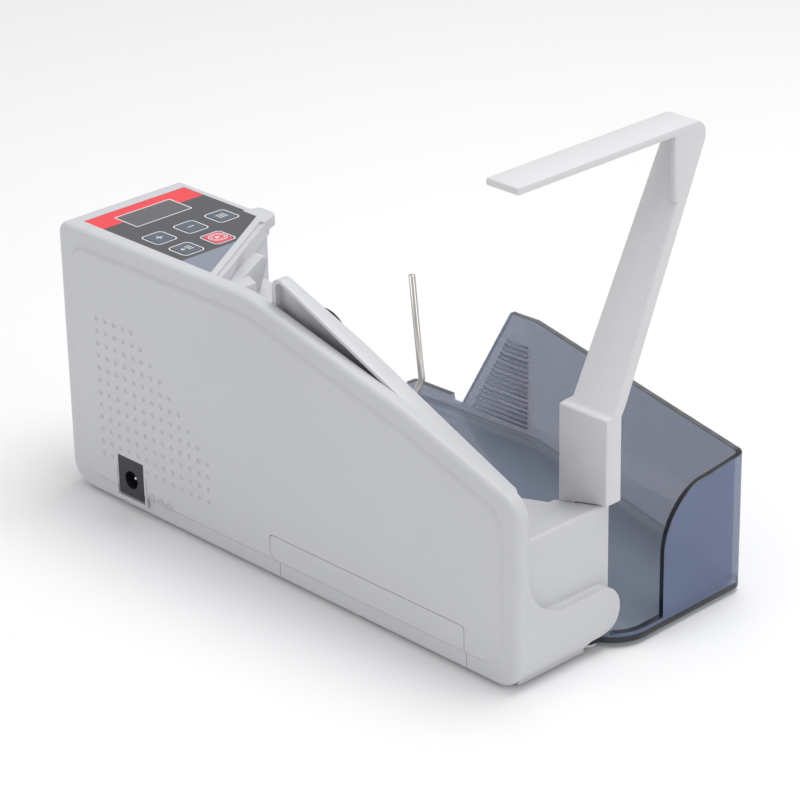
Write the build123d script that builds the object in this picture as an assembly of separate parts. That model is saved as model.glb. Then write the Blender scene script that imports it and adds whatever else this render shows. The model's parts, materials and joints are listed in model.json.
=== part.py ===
from build123d import *
from math import atan, cos, degrees, hypot, pi, sin
import os

os.makedirs("parts", exist_ok=True)

# Portable banknote counter, millimetres. X runs along the body with +X at the nose,
# Y across it with the plain side at -Y and the stacker tray at +Y, Z up from the desk.
# The origin is on the desk under the middle of the body.

# ---- driving dimensions ----
BODY_LENGTH = 244.0
BODY_HEIGHT = 111.0
SKIN_BOTTOM = 1.0
NEAR = -25.0
FAR = 25.0
RAIL = 5.7
WALL = 2.2
FIT = 0.3
PLATE = 2.0

REAR_X = -BODY_LENGTH / 2
NOSE_X = BODY_LENGTH / 2
WEB_FACE = NEAR + RAIL
WEB_BACK = WEB_FACE - WALL
SLOPE_START_X = -14.0
SLOPE_KNEE = (66.0, 91.5)
NOSE_TOP_Z = 73.5

HEAD_FAR = 34.0
HEAD_SEAM_Z = 104.0
FLOOR_Z = 3.0
LOW_TOP_Z = 38.0
MID_TOP_Z = 80.0
HOPPER_FAR = 12.0
HOPPER_END_X = 61.5

# Hopper bed: top surface runs through these side-view points.
BED_REAR = (-30.0, 97.3)
BED_CREST = (-8.0, 93.5)
BED_END = (70.0, 60.2)
BED_SLOPE = (BED_CREST[1] - BED_END[1]) / (BED_END[0] - BED_CREST[0])
BED_ANGLE = atan(BED_SLOPE)

# Side guide that stands up between the rail and the notes.
GUIDE_START_X = -5.7
GUIDE_END_X = 110.0
GUIDE_TOP_Z = 120.9
GUIDE_FAR = -12.0
GUIDE_TAPER = (-14.6, 35.0)
GUIDE_CAP = 1.6
GUIDE_END_WALL = 2.2

# Nose ramp, its front ridge and the lip below.
RIDGE = (118.0, 56.0)
RAMP_SLOPE = 0.223
RAMP_FAR = 18.0
RIDGE_RADIUS = 1.2
LIP_Z = 25.4
LIP_CORNER = 20.0
LIP_END = (17.3, 16.4)
LIP_END_RADIUS = 9.8
LIP_LOW_Z = (4.5, 6.6)
RAMP_REAR_X = HOPPER_END_X + 0.2

# Rollers (side-view centres).
FEED_CENTRE = (-8.0, 85.0)
FEED_RADIUS = 12.5
HUB_RADIUS = 8.5
SHAFT_RADIUS = 2.0
RUNNING_FIT = 0.08
TRANSPORT_RADIUS = 10.0
TRANSPORT_TOUCH_X = 52.0
PINCH_RADIUS = 4.0
NOTE_GAP = 0.35
FEED_SPANS = ((-11.0, -4.4), (2.4, 9.0))
PINCH_SPAN = (-10.4, -4.8)
SHAFT_SPAN = (WEB_BACK + 0.3, HOPPER_FAR - 0.3)
DRIVE_PULLEY_SPAN = (-18.6, -15.4)
LINK_PULLEY_SPAN = (-14.8, -11.9)
MOTOR_CENTRE = (-48.0, 60.0)
MOTOR_RADIUS = 12.0
PULLEY_RADIUS = 4.4
MOTOR_PULLEY_RADIUS = 3.0
BELT_THICKNESS = 0.9
BELT_LIFT = 0.1

# Control head.
LABEL_CORNERS = [(-113.0, -19.0), (-113.0, 31.0), (-69.8, 31.0), (-39.2, -19.0)]
LABEL_THICKNESS = 0.8
RIM_WIDTH = 4.7
RIM_STEP = 1.9
STEP_DROP = 1.0
KEY_LENGTH = 9.2
KEY_WIDTH = 8.5
KEY_PROUD = 0.15
KEY_COLUMN_REAR = -79.0
KEY_COLUMN_FRONT = -63.4
KEY_ROWS = (-10.0, 5.5, 21.0)
KEYS = {
    "key_plus": (KEY_COLUMN_REAR, KEY_ROWS[0]),
    "key_minus": (KEY_COLUMN_REAR, KEY_ROWS[1]),
    "key_batch": (KEY_COLUMN_REAR, KEY_ROWS[2]),
    "key_add": (KEY_COLUMN_FRONT, KEY_ROWS[0]),
    "key_start": (KEY_COLUMN_FRONT, KEY_ROWS[1]),
}
WINDOW_CENTRE = (-100.5, 5.1)
WINDOW_SIZE = (12.6, 26.3)
LOBE = [(-78, 31, 0), (-76, 37.9, 2.5), (-66.4, 37.7, 3.5), (-62.4, 27.5, 1.5), (-69, 26, 0)]
LOBE_HEIGHT = 4.5
LEDGE_TOP = 105.5
PCB_TOP = 99.6
PCB_THICKNESS = 1.6
DIGITS = 4
DIGIT_SIZE = (8.4, 5.0)
DIGIT_PITCH = 6.4
SEGMENTS = ("top", "middle", "bottom", "upper_left", "upper_right", "lower_left", "lower_right")

# Battery compartment.
CELL_RADIUS = 7.2
CELL_LENGTH = 49.3
BUTTON_LENGTH = 1.2
CELL_ROWS = (-11.2, 3.8)
CELL_Z = 11.2
BAY_MIDDLE_X = 46.9
DOOR_X = (-3.6, 97.3)
DOOR_TOP_Z = 19.0
DOOR_FAR = 8.5
DOOR_GAP = 0.25

BUZZER_CENTRE = (-92.0, 52.0)

# Fasteners and feet, in plan.
SCREW_SPOTS = [(-100.0, 8.0), (-58.0, 17.5), (40.0, 18.8), (110.0, 4.0)]
FOOT_SPOTS = [(-106.0, -10.0), (-106.0, 24.0), (106.0, -11.0), (84.0, 15.0)]

# Plain side: raised panel and its grid of dimples.
PANEL_PROUD = 1.2
PANEL_INSET = 7.0
PANEL_BEVEL = 1.7
PANEL_CORNER = 8.0
PANEL_FACE = NEAR - PANEL_PROUD
VENT_PITCH = 5.16
VENT_COLUMNS = 13
VENT_ROWS = 12
VENT_FIRST = (-99.5, 77.2)
VENT_RADIUS = 1.15
VENT_SINK = 0.55
VENT_FULL_COLUMNS = 5

# Direct-current inlet.
JACK_CENTRE = (-83.8, 14.6)
JACK_SIZE = (15.0, 16.2)
JACK_BORE_RADIUS = 3.6

# Stacker tray.
TRAY_PIVOT = (113.0, 19.5)
TRAY_BOSS_RADIUS = 4.5
TRAY_FRONT = (126.8, 26.1)
TRAY_FRONT_RADIUS = 16.0
TRAY_CORNER = (126.0, 88.9)
TRAY_CREASE = (-9.5, 123.7)
TRAY_TIP = (-78.0, 121.1)
TRAY_REAR_NEAR = (-25.0, 87.0)
TRAY_FLOOR_Z = (2.0, 4.5)
TRAY_TOP_Z = 56.5
TRAY_WALL = 2.4
TRAY_LOW_Z = 11.0
TRAY_RIM_Z = 5.8
TRAY_RIM_WIDTH = 3.2
TRAY_PIN_RADIUS = 2.0
TRAY_PIN_FOOT = 0.5
SWEEP_CENTRE = (68.5, 30.0)
SWEEP_RADII = (23.2, 24.3)
GRIP_RIBS = 17
GRIP_PITCH = 2.2
GRIP_START = (-43.0, 9.0)
GRIP_END_X = -13.2
GRIP_LEAN = 0.543

# Support arm.
ARM_PIVOT = (100.5, 46.0)
ARM_BLOCK_X = (97.8, 120.5)
ARM_BLOCK_Y = (21.0, 28.6)
ARM_BLOCK_TOP = 89.5
ARM_BAR_TOP = 181.0
ARM_BAR_THICKNESS = 2.8
ARM_BAR_X = (95.0, 109.8)
ARM_BAR_END = -11.6
ARM_LEAN = 0.62
ARM_STRIP_Y = (23.7, 29.1)
ARM_WEB_THICKNESS = 2.4
ARM_STRIP_X = (100.6, 120.5)

# Wire note guide.
WIRE_RADIUS = 1.2
WIRE_ROOT = (44.0, 77.0)
WIRE_BEND = (51.2, 90.1)
WIRE_TIP = (47.0, 128.8)

# Screw posts.
POST_HEIGHT = 12.0
POST_RADIUS = 3.4
ON_BASE = (Align.CENTER, Align.CENTER, Align.MIN)


# ---- helpers ----
def side_plane(y):
    return Plane((0, y, 0), x_dir=(1, 0, 0), z_dir=(0, -1, 0))


def side_slab(sketch, y_start, y_end):
    return extrude(side_plane(y_start) * sketch, amount=y_end - y_start, dir=(0, 1, 0))


def flat_slab(sketch, z_start, z_end):
    return extrude(Pos(0, 0, z_start) * sketch, amount=z_end - z_start, dir=(0, 0, 1))


def end_slab(sketch, x_start, x_end):
    plane = Plane((x_start, 0, 0), x_dir=(0, 1, 0), z_dir=(1, 0, 0))
    return extrude(plane * sketch, amount=x_end - x_start, dir=(1, 0, 0))


def block(x_range, y_range, z_range):
    size = [end - start for start, end in (x_range, y_range, z_range)]
    corner = (x_range[0], y_range[0], z_range[0])
    return Pos(*corner) * Box(*size, align=(Align.MIN, Align.MIN, Align.MIN))


def rounded_polygon(corners):
    """Polygon from (x, y, radius) corners."""
    sketch = Polygon(*[(x, y) for x, y, _ in corners], align=None)
    for x, y, radius in corners:
        if radius:
            corner = sketch.vertices().sort_by_distance((x, y, 0))[0]
            sketch = fillet(corner, radius)
    return sketch


def rod(centre, radius, y_start, y_end):
    """Cylinder along Y at a side-view centre."""
    disc = Pos(centre[0], centre[1]) * Circle(radius)
    return side_slab(disc, y_start, y_end)


def loop_outline(first, second, first_radius, second_radius):
    """Outline of a band stretched round two discs, in side view."""
    discs = [Pos(*first) * Circle(first_radius), Pos(*second) * Circle(second_radius)]
    return make_hull([edge for disc in discs for edge in disc.edges()])


def bed_height(x):
    if x < BED_CREST[0]:
        rise = (BED_REAR[1] - BED_CREST[1]) / (BED_CREST[0] - BED_REAR[0])
        return BED_CREST[1] + rise * (BED_CREST[0] - x)
    return BED_CREST[1] - BED_SLOPE * (x - BED_CREST[0])


def ramp_height(x):
    return RIDGE[1] - RAMP_SLOPE * (RIDGE[0] - x)


def off_bed(x, distance):
    """Side-view point at a distance above the sloping bed surface."""
    return (x + distance * sin(BED_ANGLE), bed_height(x) + distance * cos(BED_ANGLE))


TRANSPORT_CENTRE = off_bed(TRANSPORT_TOUCH_X, 0.8 - TRANSPORT_RADIUS)
PINCH_CENTRE = off_bed(TRANSPORT_TOUCH_X, 0.8 + NOTE_GAP + PINCH_RADIUS)


def side_corners():
    """Side-view corners of the body with their radii, starting at the lower rear."""
    return [
        (REAR_X, SKIN_BOTTOM, 10),
        (NOSE_X, SKIN_BOTTOM, 10),
        (NOSE_X, NOSE_TOP_Z, 9),
        (SLOPE_KNEE[0], SLOPE_KNEE[1], 150),
        (SLOPE_START_X, BODY_HEIGHT, 60),
        (REAR_X, BODY_HEIGHT, 5),
    ]


def side_outline(inset=0.0):
    outline = rounded_polygon(side_corners())
    if inset:
        outline = offset(outline, amount=-inset)
    return outline


def panel_outline(inset, radius):
    """Raised panel of the plain side: parallel to the body, with its own corner radius."""
    corners = side_corners()
    sketch = Polygon(*[(x, z) for x, z, _ in corners], align=None)
    sketch = offset(sketch, amount=-inset, kind=Kind.INTERSECTION)
    for x, z, body_radius in corners:
        corner = sketch.vertices().sort_by_distance((x, z, 0))[0]
        sketch = fillet(corner, max(radius, body_radius) if body_radius > 20 else radius)
    return sketch


def head_plan(inset=0.0):
    """Plan of the control head: square at the rear, cut off on the diagonal in front."""
    margin = RIM_WIDTH - inset
    lean = (LABEL_CORNERS[2][0] - LABEL_CORNERS[3][0]) / (LABEL_CORNERS[2][1] - LABEL_CORNERS[3][1])
    shift = margin * hypot(1, lean)
    far = HEAD_FAR - inset
    front_far = LABEL_CORNERS[2][0] + shift + lean * (far - LABEL_CORNERS[2][1])
    front_near = LABEL_CORNERS[3][0] + shift + lean * (WEB_FACE - LABEL_CORNERS[3][1])
    return rounded_polygon(
        [
            (REAR_X + inset, WEB_FACE, 0),
            (REAR_X + inset, far, 4),
            (front_far, far, 3),
            (front_near, WEB_FACE, 0),
        ]
    )


# ---- casing ----
def vent_positions():
    """Dot grid with its upper front corner cut away and the inlet left clear."""
    half_length = JACK_SIZE[0] / 2 + 2
    top = JACK_CENTRE[1] + JACK_SIZE[1] / 2 + 1
    for column in range(VENT_COLUMNS):
        first_row = max(0, column - VENT_FULL_COLUMNS + 1)
        for row in range(first_row, VENT_ROWS):
            x = VENT_FIRST[0] + column * VENT_PITCH
            z = VENT_FIRST[1] - row * VENT_PITCH
            if abs(x - JACK_CENTRE[0]) < half_length and z < top:
                continue
            yield (x, z)


def door_outline(gap=0.0):
    rear, front = DOOR_X
    return rounded_polygon(
        [
            (rear - gap, DOOR_TOP_Z + gap, 1.5),
            (front + gap, DOOR_TOP_Z + gap, 1.5),
            (front + gap, -5, 0),
            (rear + 4 - gap, -5, 0),
            (rear + 4 - gap, 8, 0),
            (rear - gap, 12, 0),
        ]
    )


def cover_shell():
    """Side shell before the battery door is parted from it."""
    shell = side_slab(side_outline(), NEAR, WEB_FACE)
    face = shell.faces().sort_by(Axis.Y)[0]
    shell = fillet(face.edges(), 2.5)
    shell -= side_slab(side_outline(WALL), NEAR + 2, WEB_FACE + 1)
    foot = panel_outline(PANEL_INSET, PANEL_CORNER + PANEL_BEVEL)
    face = panel_outline(PANEL_INSET + PANEL_BEVEL, PANEL_CORNER)
    panel = loft([side_plane(NEAR) * foot, side_plane(PANEL_FACE) * face], ruled=True)
    return shell + panel + side_slab(foot, NEAR, NEAR + 0.5)


def jack_opening(gap):
    half_length = JACK_SIZE[0] / 2 + gap
    half_height = JACK_SIZE[1] / 2 + gap
    x_range = (JACK_CENTRE[0] - half_length, JACK_CENTRE[0] + half_length)
    z_range = (JACK_CENTRE[1] - half_height, JACK_CENTRE[1] + half_height)
    return x_range, z_range


def near_cover():
    cover = cover_shell()
    x_range, z_range = jack_opening(0.1)
    cover -= block(x_range, (NEAR - 2, WEB_FACE), z_range)
    cover -= side_slab(door_outline(DOOR_GAP), NEAR - 2, WEB_FACE)
    dimple = Pos(0, PANEL_FACE - VENT_SINK, 0) * Sphere(VENT_RADIUS)
    cover -= [Pos(x, 0, z) * dimple for x, z in vent_positions()]
    border_x, border_z = jack_opening(1.6)
    border = block(border_x, (PANEL_FACE - 0.3, PANEL_FACE + 0.4), (border_z[0], border_z[1] - 7))
    inner_x, inner_z = jack_opening(0.7)
    border -= block(inner_x, (PANEL_FACE - 1, NEAR), inner_z)
    return cover + border


def battery_door():
    """Side flap and underside plate in one piece, with finger ribs below."""
    flap = cover_shell() & side_slab(door_outline(), NEAR - 2, WEB_FACE)
    plate_x = (DOOR_X[0] + 4, DOOR_X[1])
    door = flap + block(plate_x, (NEAR + 2.5, DOOR_FAR), (SKIN_BOTTOM, FLOOR_Z - 0.2))
    for step in range(5):
        rib_x = BAY_MIDDLE_X - 6 + step * 3
        door -= block((rib_x, rib_x + 1.2), (-8, 4), (SKIN_BOTTOM - 1, SKIN_BOTTOM + 0.6))
    return door


def inner_frame():
    """Flat frame that closes the side shell and carries the near shaft ends."""
    frame = side_slab(side_outline(WALL + 0.1), WEB_BACK, WEB_FACE)
    for centre in (FEED_CENTRE, TRANSPORT_CENTRE):
        frame -= rod(centre, SHAFT_RADIUS + 1.5, WEB_BACK - 1, WEB_FACE + 1)
    x_range, z_range = jack_opening(0.5)
    frame -= block(x_range, (WEB_BACK - 1, WEB_FACE + 1), z_range)
    bay_x = (DOOR_X[0] - 0.6, DOOR_X[1] + 0.6)
    frame -= block(bay_x, (WEB_BACK - 1, WEB_FACE + 1), (-1, DOOR_TOP_Z + 0.6))
    return frame


def lower_profile(inset):
    """Side view of the hopper part of the housing, up to the underside of the bed."""
    front = HOPPER_END_X - inset
    rear = BED_REAR[0] - 15
    return [
        (rear, FLOOR_Z),
        (front, FLOOR_Z),
        (front, bed_height(front) - PLATE - 0.2),
        (BED_CREST[0], BED_CREST[1] - PLATE - 0.2),
        (rear, bed_height(rear) - PLATE - 0.2),
    ]


def main_housing():
    mid_x = (-70.0, -20.0)
    low_x = (-70.0, HOPPER_END_X)
    outside = flat_slab(head_plan(0.8), FLOOR_Z, HEAD_SEAM_Z)
    outside += block(mid_x, (WEB_FACE, FAR), (FLOOR_Z, MID_TOP_Z))
    outside += block(low_x, (WEB_FACE, FAR), (FLOOR_Z, LOW_TOP_Z))
    profile = Polygon(*lower_profile(0), align=None)
    outside += side_slab(profile, WEB_FACE, HOPPER_FAR)
    open_near = WEB_FACE - 1
    open_below = FLOOR_Z - 1
    inside = flat_slab(head_plan(0.8 + WALL), open_below, HEAD_SEAM_Z + 1)
    mid_inner = (mid_x[0] - 5, mid_x[1] - WALL)
    inside += block(mid_inner, (open_near, FAR - WALL), (open_below, MID_TOP_Z - WALL))
    low_inner = (mid_x[0] - 5, HOPPER_END_X - WALL)
    inside += block(low_inner, (open_near, FAR - WALL), (open_below, LOW_TOP_Z - WALL))
    well_x = (BED_REAR[0] - 1, HOPPER_END_X - WALL)
    inside += block(well_x, (open_near, HOPPER_FAR - WALL), (open_below, BODY_HEIGHT))
    housing = outside - inside
    for centre in (FEED_CENTRE, TRANSPORT_CENTRE):
        housing -= rod(centre, SHAFT_RADIUS + 1.5, HOPPER_FAR - WALL - 1, HOPPER_FAR + 1)
    bay_x = (DOOR_X[0] - 9, HOPPER_END_X + 1)
    housing -= block(bay_x, (open_near, 13.0), (open_below, DOOR_TOP_Z + 2.6))
    rear_web = ((REAR_X + 1, SCREW_SPOTS[0][0]), (SCREW_SPOTS[0][1] - 1, SCREW_SPOTS[0][1] + 1))
    far_webs = [((x - 1, x + 1), (y, FAR - 1)) for x, y in SCREW_SPOTS[1:3]]
    for (x, y), web in zip(SCREW_SPOTS, [rear_web, *far_webs]):
        housing += Pos(x, y, FLOOR_Z) * Cylinder(POST_RADIUS, POST_HEIGHT, align=ON_BASE)
        housing += block(*web, (FLOOR_Z, FLOOR_Z + POST_HEIGHT))
        housing -= Pos(x, y, FLOOR_Z) * Cylinder(1.5, 20)
    return housing


def base_plate():
    outline = Polygon(
        (-117, WEB_FACE), (-117, 31), (-70, 31), (-70, FAR - 0.3), (70, FAR - 0.3),
        (74, 20), (100, 20), (107, 13.9), (RIDGE[0] - 0.6, 13.4), (RIDGE[0] - 0.6, WEB_FACE), align=None,
    )
    plate = flat_slab(outline, SKIN_BOTTOM, FLOOR_Z)
    gap = DOOR_GAP + 0.1
    opening_x = (DOOR_X[0] + 4 - gap, DOOR_X[1] + gap)
    plate -= block(opening_x, (WEB_FACE - 1, DOOR_FAR + gap), (0, FLOOR_Z + 1))
    for x, y in FOOT_SPOTS:
        plate -= Pos(x, y, SKIN_BOTTOM) * Cylinder(5.05, 1.6)
    for x, y in SCREW_SPOTS:
        plate -= Pos(x, y, SKIN_BOTTOM) * Cylinder(1.6, 8)
        plate -= Pos(x, y, SKIN_BOTTOM) * Cylinder(3.2, 2.4)
    slot = Pos(-84, 0, FLOOR_Z) * Box(22, 2.2, 8)
    plate -= [Pos(0, 12 + 4.2 * step, 0) * slot for step in range(4)]
    return plate


def base_screws():
    screws = []
    for x, y in SCREW_SPOTS:
        head = Pos(x, y, SKIN_BOTTOM + 0.6) * Cylinder(3.0, 1.1)
        head -= Pos(x, y, SKIN_BOTTOM) * Box(4.2, 0.8, 0.9)
        head -= Pos(x, y, SKIN_BOTTOM) * Box(0.8, 4.2, 0.9)
        shank = Pos(x, y, SKIN_BOTTOM + 1) * Cylinder(1.42, 9, align=ON_BASE)
        screws.append(head + shank)
    return screws


def rubber_feet():
    feet = []
    for x, y in FOOT_SPOTS:
        foot = Pos(x, y, 0) * Cylinder(5, 1.8, align=ON_BASE)
        feet.append(chamfer(foot.faces().sort_by(Axis.Z)[0].edges(), 0.5))
    return feet


# ---- nose ----
def ramp_wedge(rear, bottom, y_start, y_end):
    """Part of the nose under the ramp, from a side-view X forward to the ridge."""
    outline = Polygon(
        (rear, bottom), (RIDGE[0], bottom), RIDGE, (rear, ramp_height(rear)), align=None
    )
    ridge = outline.vertices().sort_by_distance((RIDGE[0], RIDGE[1], 0))[0]
    return side_slab(fillet(ridge, RIDGE_RADIUS), y_start, y_end)


def front_lip():
    """Front plate below the ridge: high at the plain side, round at the tray side."""
    end_y, end_z = LIP_END
    near_low, far_low = LIP_LOW_Z
    outline = Polygon(
        (WEB_FACE, near_low), (10, near_low), (14, far_low), (end_y, far_low),
        (end_y, LIP_Z + 1), (0, LIP_Z + 1), (0, 50), (WEB_FACE, 50), align=None,
    )
    outline += Pos(end_y, end_z) * Circle(LIP_END_RADIUS)
    lip = side_slab(side_outline(), WEB_FACE, FAR + 5) & end_slab(outline, RIDGE[0] - 1, NOSE_X)
    above = rounded_polygon(
        [(WEB_FACE, LIP_Z, LIP_CORNER), (60, LIP_Z, 0), (60, 90, 0), (WEB_FACE, 90, 0)]
    )
    cove = rounded_polygon(
        [(RIDGE[0], LIP_Z, 1.5), (NOSE_X + 1, LIP_Z + 0.6, 0), (NOSE_X + 1, 90, 0), (RIDGE[0], 90, 0)]
    )
    lip -= end_slab(above, RIDGE[0], NOSE_X + 1) & side_slab(cove, WEB_FACE - 1, FAR + 6)
    return lip - end_slab(above, RIDGE[0] - 2, RIDGE[0])


def nose_block():
    rear = RAMP_REAR_X
    nose = ramp_wedge(rear, FLOOR_Z, WEB_FACE, RAMP_FAR)
    nose += block((rear, RIDGE[0]), (RAMP_FAR - 1, FAR), (5.6, LOW_TOP_Z))
    lug_rear = ARM_PIVOT[0] + 6.2
    nose += ramp_wedge(lug_rear, LOW_TOP_Z - 1, RAMP_FAR - 1, FAR)
    shelf = Polygon(
        (96, LOW_TOP_Z - 1), (lug_rear + 1, LOW_TOP_Z - 1),
        (lug_rear + 1, ramp_height(lug_rear + 1)), (96, ramp_height(96)), align=None,
    )
    nose += side_slab(shelf, RAMP_FAR - 1, ARM_BLOCK_Y[0] - FIT)
    nose += front_lip()
    inside_x = (rear + WALL, RIDGE[0] - WALL)
    nose -= block(inside_x, (WEB_FACE - 1, RAMP_FAR - WALL), (0, LOW_TOP_Z - 1))
    nose -= block(inside_x, (RAMP_FAR - WALL - 1, FAR - WALL), (0, LOW_TOP_Z - WALL))
    nose -= block((rear - 1, 106), (WEB_FACE - 1, 13), (0, DOOR_TOP_Z + 2.6))
    boss = rod(ARM_PIVOT, 5.5, RAMP_FAR - 5, ARM_BLOCK_Y[0] - FIT)
    nose += boss & block((90, 112), (0, 30), (30, ramp_height(ARM_PIVOT[0] - 5.5)))
    nose -= rod(ARM_PIVOT, SHAFT_RADIUS + 0.02, RAMP_FAR - 9, 40)
    # The tray swings under this corner on a pin held by a boss inside the nose.
    nose -= block((76, NOSE_X + 1), (20.6, FAR + 8), (0, 5.6))
    nose -= block((104, NOSE_X + 1), (14.2, FAR + 8), (0, 5.0))
    pin_x, pin_y = TRAY_PIVOT
    nose += Pos(pin_x, pin_y, 5.0) * Cylinder(RIDGE[0] - pin_x - 0.1, 4.0, align=ON_BASE)
    nose -= Pos(pin_x, pin_y, 7) * Cylinder(TRAY_PIN_RADIUS + 0.02, 12)
    x, y = SCREW_SPOTS[3]
    nose += Pos(x, y, FLOOR_Z) * Cylinder(POST_RADIUS, POST_HEIGHT, align=ON_BASE)
    nose += block((x, RIDGE[0] - 1), (y - 1.5, y + 1.5), (FLOOR_Z, FLOOR_Z + POST_HEIGHT))
    return nose - Pos(x, y, FLOOR_Z) * Cylinder(1.5, 20)


# ---- hopper ----
def hopper_bed():
    top = [BED_REAR, BED_CREST, BED_END]
    under = [(x, z - PLATE) for x, z in reversed(top)]
    bed = side_slab(Polygon(*top, *under, align=None), WEB_FACE, HOPPER_FAR)
    for y_range in FEED_SPANS:
        bed -= rod(FEED_CENTRE, FEED_RADIUS + 0.7, y_range[0] - 0.6, y_range[1] + 0.6)
    for y_range in FEED_SPANS:
        bed -= rod(TRANSPORT_CENTRE, TRANSPORT_RADIUS + 0.7, y_range[0] - 0.6, y_range[1] + 0.6)
    rib_start = (BED_CREST[0] + 14, bed_height(BED_CREST[0] + 14))
    rib_end = (BED_END[0] - 3, bed_height(BED_END[0] - 3))
    raised = [(x, z + 0.5) for x, z in (rib_end, rib_start)]
    rib = Polygon(rib_start, rib_end, *raised, align=None)
    for y in (-2.2, -0.7):
        bed += side_slab(rib, y, y + 0.8)
    return bed


def guide_height(x):
    return GUIDE_TOP_Z - BED_SLOPE * (x - GUIDE_START_X)


def guide_plan(inset):
    """Plan of the side guide: its face towards the notes tapers away at the rear."""
    start_y, straight_x = GUIDE_TAPER
    return Polygon(
        (GUIDE_START_X - 1, WEB_FACE - 2), (GUIDE_START_X - 1, start_y - inset),
        (straight_x, GUIDE_FAR - inset), (GUIDE_END_X + 1, GUIDE_FAR - inset),
        (GUIDE_END_X + 1, WEB_FACE - 2), align=None,
    )


def side_guide():
    """Hollow rib beside the notes: a cap, one wall towards the notes and an end wall."""
    start, end = GUIDE_START_X, GUIDE_END_X
    outline = rounded_polygon(
        [
            (start, bed_height(start) + 0.02, 0),
            (BED_END[0], bed_height(BED_END[0]) + 0.02, 0),
            (BED_END[0] + 0.2, ramp_height(BED_END[0] + 0.2) + 0.02, 0),
            (end, ramp_height(end) + 0.02, 0),
            (end, guide_height(end), 2),
            (start, guide_height(start), 4),
        ]
    )
    body = side_slab(outline, WEB_FACE + 0.05, 0) & flat_slab(guide_plan(0), 0, 130)
    inner_start, inner_end = start + GUIDE_END_WALL, end - 4
    hollow = rounded_polygon(
        [
            (inner_start, bed_height(start) - 30, 0),
            (inner_end, bed_height(end) - 30, 0),
            (inner_end, guide_height(inner_end) - GUIDE_CAP, 0),
            (inner_start, guide_height(inner_start) - GUIDE_CAP, 2),
        ]
    )
    return body - (side_slab(hollow, WEB_FACE - 1, 0) & flat_slab(guide_plan(1.5), 0, 130))


def back_guide():
    """Ledge under the head with a tapering fin that squares up the notes."""
    ledge = Polygon(
        (-34.6, WEB_FACE), (-30.1, WEB_FACE), (-30.1, -5), (-37, -2.5),
        (-41.2, -2.5), (-42.9, -6.0), align=None,
    )
    base = bed_height(-45) - PLATE - 0.15
    guide = flat_slab(ledge, base, LEDGE_TOP)
    fin = rounded_polygon(
        [
            (-6.0, base, 0),
            (2.6, base, 0),
            (7.6, BODY_HEIGHT, 2),
            (4.0, BODY_HEIGHT, 1),
            (-6.0, LEDGE_TOP, 0),
        ]
    )
    guide += end_slab(fin, -42.0, -36.8)
    guide -= flat_slab(head_plan(0.78), 0, HEAD_SEAM_Z)
    return guide - flat_slab(head_plan(-0.02), HEAD_SEAM_Z - 0.02, BODY_HEIGHT)


def gate_bridge():
    """Bracket over the bed that holds the pad, the pinch rollers and the wire guide."""
    lift = 2.2
    start, end = 38.0, 60.0
    profile = Polygon(
        (start, bed_height(start) + lift + 1), (end, bed_height(end) + lift),
        (end, bed_height(end) + 10), (start + 5, bed_height(start + 5) + 10),
        (start, bed_height(start) + 6.5), align=None,
    )
    bridge = side_slab(profile, GUIDE_FAR + 0.02, -1.6)
    bridge -= rod(WIRE_ROOT, WIRE_RADIUS + RUNNING_FIT, GUIDE_FAR + 1.5, 0)
    bridge -= rod(PINCH_CENTRE, PINCH_RADIUS + 0.7, PINCH_SPAN[0] - 0.5, PINCH_SPAN[1] + 0.5)
    bridge -= rod(PINCH_CENTRE, 1.02, GUIDE_FAR + 1.0, -1)
    return bridge


def retard_pad():
    first, last = off_bed(39.5, 0.9), off_bed(46.0, 0.9)
    above = [off_bed(46.0, 2.1), off_bed(39.5, 2.4)]
    return side_slab(Polygon(first, last, *above, align=None), -10.5, -3.0)


def wire_leg(first, last):
    length = hypot(last[0] - first[0], last[1] - first[1])
    tilt = degrees(atan((last[0] - first[0]) / (last[1] - first[1])))
    leg = Cylinder(WIRE_RADIUS, length, align=ON_BASE)
    return Pos(first[0], 0, first[1]) * Rot(0, tilt, 0) * leg


def wire_guide():
    wire = rod(WIRE_ROOT, WIRE_RADIUS, GUIDE_FAR + 2.5, 0)
    wire += Pos(WIRE_ROOT[0], 0, WIRE_ROOT[1]) * Sphere(WIRE_RADIUS)
    wire += wire_leg(WIRE_ROOT, WIRE_BEND)
    wire += Pos(WIRE_BEND[0], 0, WIRE_BEND[1]) * Sphere(WIRE_RADIUS)
    wire += wire_leg(WIRE_BEND, WIRE_TIP)
    wire += Pos(WIRE_TIP[0], 0, WIRE_TIP[1]) * Sphere(WIRE_RADIUS)
    return wire


# ---- drive ----
def notched_tyre(centre, inner, outer, notches, span):
    ring = Circle(outer) - Circle(inner)
    notch = Pos(outer + 0.15, 0) * Circle(0.75)
    ring -= [Rot(0, 0, 360 / notches * step) * notch for step in range(notches)]
    return side_slab(Pos(centre[0], centre[1]) * ring, *span)


def ring_on(centre, inner, outer, span):
    sketch = Circle(outer) - Circle(inner)
    return side_slab(Pos(centre[0], centre[1]) * sketch, *span)


def feed_hubs():
    hubs = []
    for span in FEED_SPANS:
        hub = ring_on(FEED_CENTRE, SHAFT_RADIUS, HUB_RADIUS, span)
        for step in range(5):
            turn = 2 * pi * step / 5
            hole = (FEED_CENTRE[0] + 5.4 * cos(turn), FEED_CENTRE[1] + 5.4 * sin(turn))
            hub -= rod(hole, 1.5, span[0] - 1, span[1] + 1)
        hubs.append(hub)
    return hubs


def feed_tyres():
    return [ring_on(FEED_CENTRE, HUB_RADIUS, FEED_RADIUS, span) for span in FEED_SPANS]


def transport_tyres():
    tyres = []
    for span in FEED_SPANS:
        tyres.append(notched_tyre(TRANSPORT_CENTRE, SHAFT_RADIUS, TRANSPORT_RADIUS, 20, span))
    return tyres


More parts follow.
